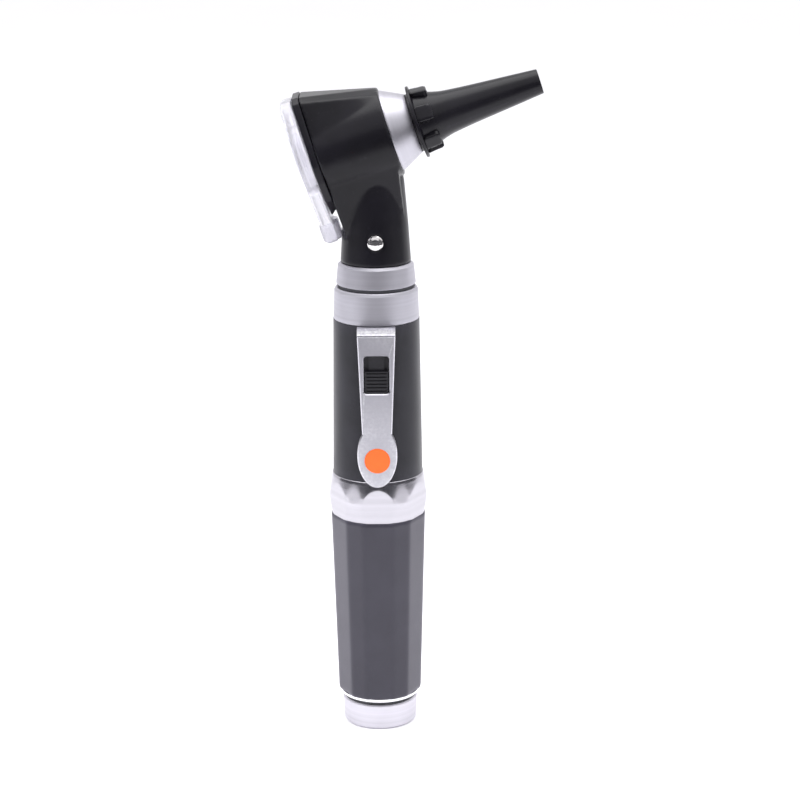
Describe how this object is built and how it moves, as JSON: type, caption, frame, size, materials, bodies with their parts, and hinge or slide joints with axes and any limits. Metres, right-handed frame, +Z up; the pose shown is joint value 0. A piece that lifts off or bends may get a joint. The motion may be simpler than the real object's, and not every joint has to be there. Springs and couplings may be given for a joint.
{
  "type": "pocket otoscope",
  "caption": "Pocket otoscope: faceted battery handle with clip and slide switch, tilted lamp head, swinging magnifier, push-on ear speculum.",
  "frame": {"origin": "centre of the flat underside of the tail cap, on the handle axis", "axes": "+Z up the handle, +X towards the speculum, -Y the side with the clip and the switch"},
  "size_m": [0.0629, 0.0248, 0.1651],
  "materials": {
    "silver_cap": "satin anodised",
    "seal_rubber": "matt",
    "spring_steel": "drawn wire",
    "bright_ring": "bright",
    "grip_grey": "satin moulded",
    "crown_silver": "bright anodised",
    "tube_charcoal": "satin moulded",
    "satin_silver": "satin turned",
    "sleeve_card": "smooth",
    "cell_jacket": "gloss jacket",
    "insulator": "moulded",
    "contact_brass": "plated",
    "switch_black": "moulded",
    "clip_steel": "satin with bright edges",
    "badge_orange": "plain enamel",
    "head_black": "satin moulded",
    "bezel_black": "satin moulded",
    "pin_steel": "turned",
    "clear_plate": "polished clear",
    "clear_lens": "polished",
    "cone_silver": "satin turned",
    "speculum_black": "satin moulded",
    "bulb_glass": "clear",
    "screw_chrome": "polished"
  },
  "bodies": {
    "handle": {"grip_end_ring": "bright_ring", "grip_tube": "grip_grey", "crown_ring": "crown_silver", "upper_tube": "tube_charcoal", "handle_collar": "satin_silver", "battery_sleeve": "sleeve_card", "cell_1": "cell_jacket", "cell_2": "cell_jacket", "contact_block": "insulator", "top_contact": "contact_brass", "contact_strip": "contact_brass", "switch_plate": "switch_black", "clip_foot": "clip_steel"},
    "slider": {"switch_slider": "switch_black"},
    "clip": {"pocket_clip": "clip_steel", "clip_badge": "badge_orange"},
    "cap_travel": {"tail_cap_seal": "seal_rubber", "battery_spring": "spring_steel"},
    "cap": {"tail_cap": "silver_cap"},
    "head_travel": {"head_seal": "seal_rubber"},
    "head": {"head_collar": "satin_silver", "head_shell": "head_black", "window_bezel": "bezel_black", "pivot_pin": "pin_steel", "cone_collar": "cone_silver", "speculum_seat": "head_black", "lamp_socket": "insulator", "lamp_base": "contact_brass", "lamp_bulb": "bulb_glass", "light_guide": "clear_lens", "set_screw": "screw_chrome"},
    "magnifier": {"magnifier_plate": "clear_plate", "magnifier_lens": "clear_lens"},
    "speculum": {"speculum": "speculum_black"}
  },
  "joints": [
    {"name": "switch_slide", "type": "slide", "parent": "handle", "child": "slider", "axis": [0, 0, 1], "range_m": [0, 0.0035]},
    {"name": "clip_flex", "type": "hinge", "parent": "handle", "child": "clip", "pos_m": [0, -0.01245, 0.1034], "axis": [-1, 0, 0], "range_deg": [0, 6], "stiffness_Nm_per_rad": 0.7, "springref_deg": -1.15},
    {"name": "cap_unscrew_travel", "type": "slide", "parent": "handle", "child": "cap_travel", "axis": [0, 0, -1], "range_m": [0, 0.0045], "deforming": ["battery_spring"]},
    {"name": "cap_unscrew_turn", "type": "hinge", "parent": "cap_travel", "child": "cap", "pos_m": [0, 0, 0], "axis": [0, 0, -1], "range_deg": [0, 1082]},
    {"name": "head_unscrew_travel", "type": "slide", "parent": "handle", "child": "head_travel", "axis": [0, 0, 1], "range_m": [0, 0.00375]},
    {"name": "head_unscrew_turn", "type": "hinge", "parent": "head_travel", "child": "head", "pos_m": [0, 0, 0.1134], "axis": [0, 0, 1], "range_deg": [0, 902]},
    {"name": "magnifier_swivel", "type": "hinge", "parent": "head", "child": "magnifier", "pos_m": [-0.02045, 0, 0.15643], "axis": [0.9511, 0, 0.309], "range_deg": [-110, 110]},
    {"name": "speculum_pull", "type": "slide", "parent": "head", "child": "speculum", "axis": [0.9511, 0, 0.309], "range_m": [0, 0.03]}
  ],
  "couplings": [
    {"joint": "cap_unscrew_turn", "follows": "cap_unscrew_travel", "rad_per_m": 4188.8},
    {"joint": "head_unscrew_turn", "follows": "head_unscrew_travel", "rad_per_m": 4188.8}
  ]
}
